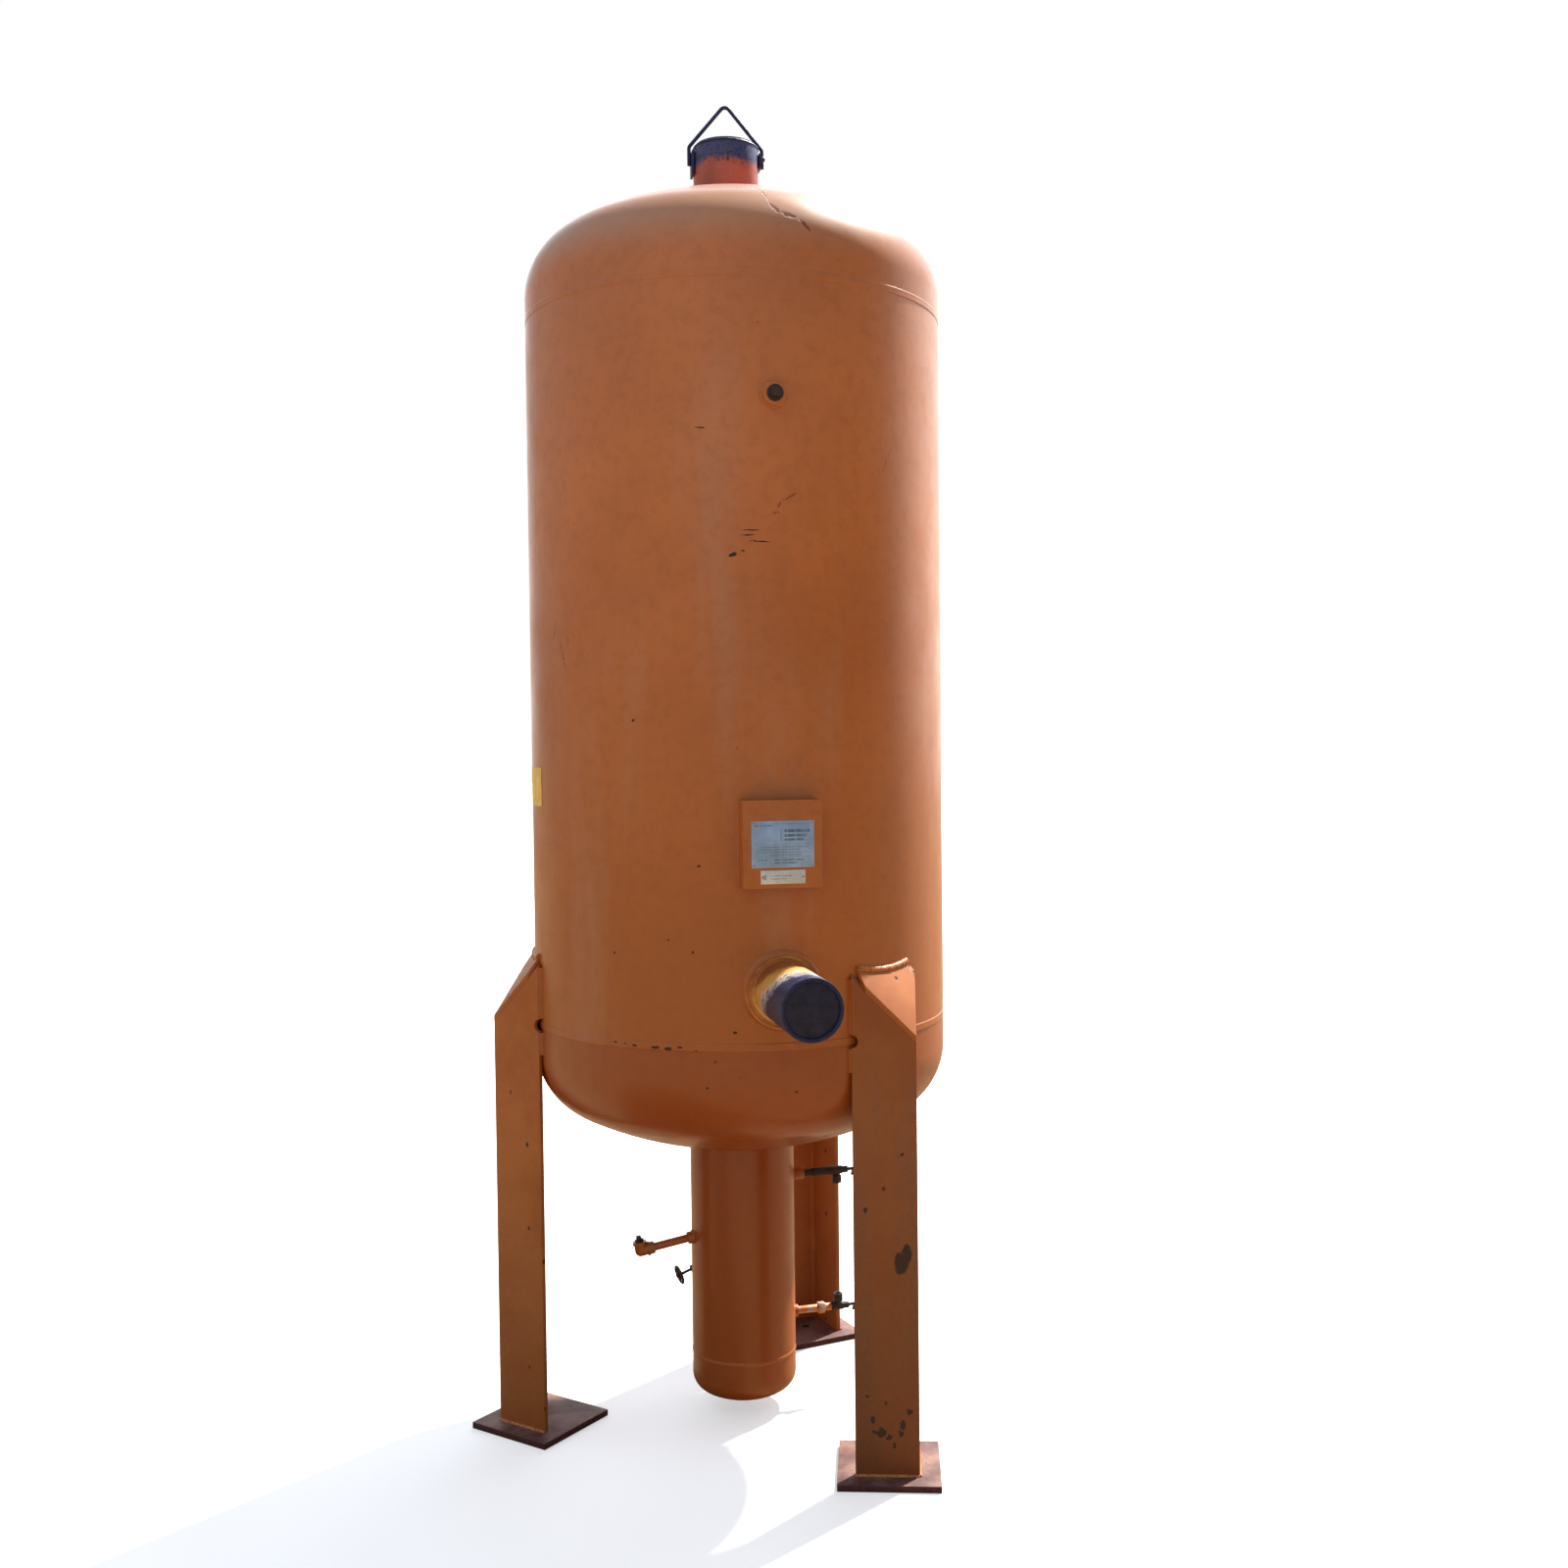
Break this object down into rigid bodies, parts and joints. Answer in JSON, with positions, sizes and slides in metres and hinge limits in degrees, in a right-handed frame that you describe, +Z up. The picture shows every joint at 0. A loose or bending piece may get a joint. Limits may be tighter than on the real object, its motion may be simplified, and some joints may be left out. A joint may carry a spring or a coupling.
{
  "type": "vertical pressure vessel",
  "caption": "Vertical welded pressure vessel with domed ends on angle-section legs, with a drain sump, gauge valves, blanked nozzles and a lifting bail.",
  "frame": {"origin": "centre of the circle of anchor holes, on the plane of the base plates' undersides, below the vessel's axis", "axes": "+Z up along the vessel's axis; -Y towards the side with the nameplate and the side nozzle; +X to the right as seen from there"},
  "size_m": [1.2344, 1.4875, 3.4066],
  "materials": {
    "tank_paint": "worn orange enamel",
    "nozzle_paint": "orange enamel, scorched and primed towards the ends",
    "leg_paint": "scuffed orange enamel",
    "plate_primer": "maroon primer, dusty",
    "scorched_steel": "heat-blued bare steel",
    "valve_iron": "dark phosphated iron",
    "galvanised_steel": "dull zinc",
    "nameplate_metal": "matt, unprinted",
    "tag_metal": "matt, unprinted"
  },
  "bodies": {
    "tank": {"shell": "tank_paint", "top_head": "tank_paint", "bottom_head": "tank_paint", "sump_pipe": "tank_paint", "sump_cap": "tank_paint", "top_nozzle": "nozzle_paint", "top_nozzle_cover": "scorched_steel", "bail_strap_left": "scorched_steel", "bail_strap_right": "scorched_steel", "lifting_bail": "scorched_steel", "bail_stud": "scorched_steel", "side_nozzle": "nozzle_paint", "side_nozzle_cover": "scorched_steel", "side_nozzle_collar": "nozzle_paint", "upper_coupling": "tank_paint", "upper_plug": "valve_iron", "nameplate_bracket": "tank_paint", "nameplate": "nameplate_metal", "data_tag": "tag_metal", "upper_gauge_coupling": "tank_paint", "upper_gauge_nipple": "valve_iron", "upper_gauge_valve": "valve_iron", "upper_glass_nut": "valve_iron", "lower_gauge_coupling": "tank_paint", "lower_gauge_nipple": "galvanised_steel", "lower_gauge_union": "galvanised_steel", "lower_gauge_valve": "valve_iron", "lower_glass_nut": "valve_iron", "drain_pipe_coupling": "tank_paint", "drain_pipe": "tank_paint", "drain_pipe_union": "tank_paint", "drain_elbow": "tank_paint", "drain_elbow_plug": "valve_iron", "drain_valve_nipple": "tank_paint", "drain_valve_body": "valve_iron", "drain_valve_bonnet": "valve_iron", "leg_left": "leg_paint", "leg_cap_left": "leg_paint", "base_plate_left": "plate_primer", "leg_right": "leg_paint", "leg_cap_right": "leg_paint", "base_plate_right": "plate_primer", "leg_back": "leg_paint", "leg_cap_back": "leg_paint", "base_plate_back": "plate_primer"},
    "drain_wheel": {"drain_valve_stem": "valve_iron", "drain_handwheel": "valve_iron"},
    "upper_handle": {"upper_gauge_handle": "valve_iron"},
    "lower_handle": {"lower_gauge_handle": "valve_iron"}
  },
  "joints": [
    {"name": "drain_valve_turn", "type": "hinge", "parent": "tank", "child": "drain_wheel", "pos_m": [-0.17537, 0.14392, 0.29784], "axis": [-0.8803, -0.3737, -0.2924], "range_deg": [0, 1170]},
    {"name": "upper_gauge_turn", "type": "hinge", "parent": "tank", "child": "upper_handle", "pos_m": [0.29751, 0.07972, 0.6], "axis": [0.9659, 0.2588, 0], "range_deg": [0, 1170]},
    {"name": "lower_gauge_turn", "type": "hinge", "parent": "tank", "child": "lower_handle", "pos_m": [0.29751, 0.07972, 0.231], "axis": [0.9659, 0.2588, 0], "range_deg": [0, 1170]}
  ]
}
